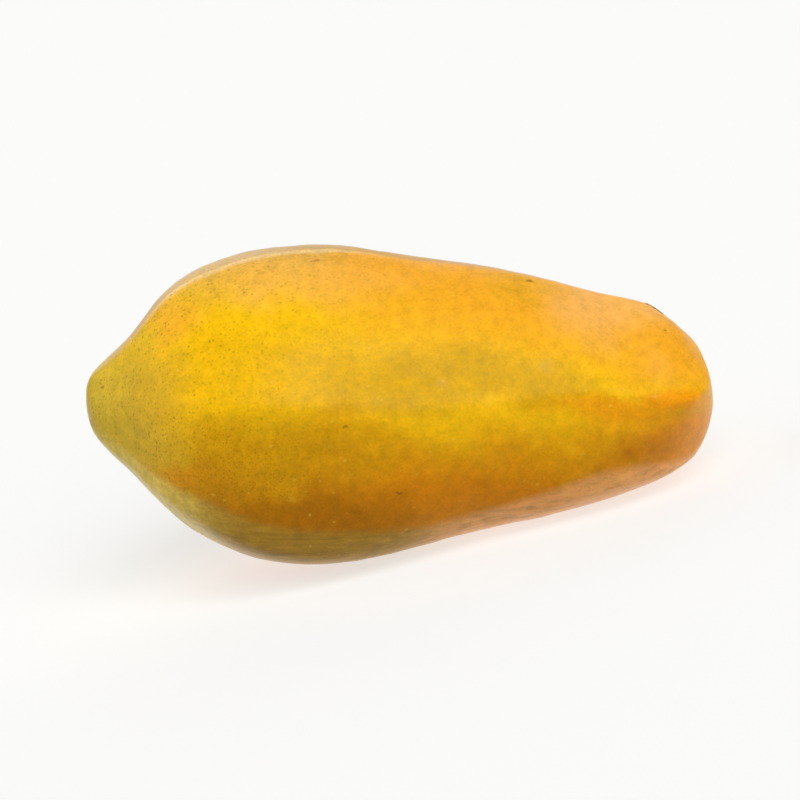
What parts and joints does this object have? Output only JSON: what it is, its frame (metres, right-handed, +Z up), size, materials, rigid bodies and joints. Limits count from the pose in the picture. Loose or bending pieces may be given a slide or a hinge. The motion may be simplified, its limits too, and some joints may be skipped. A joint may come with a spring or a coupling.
{
  "type": "papaya",
  "caption": "Whole ripe papaya lying on its side: a pear-like five-ridged fruit with a rounded blossom tip and a round stem scar.",
  "frame": {"origin": "middle of the flat spot that the fruit rests on, straight below its centre of mass", "axes": "+X along the fruit towards the stem end, +Z up, -Y the side that shows the sharp middle ridge"},
  "size_m": [0.2444, 0.1265, 0.129],
  "materials": {
    "ripe_skin": "satin, waxy ripe fruit skin, yellow-orange with olive flecks"
  },
  "bodies": {
    "root": {"papaya": "ripe_skin"}
  },
  "joints": []
}
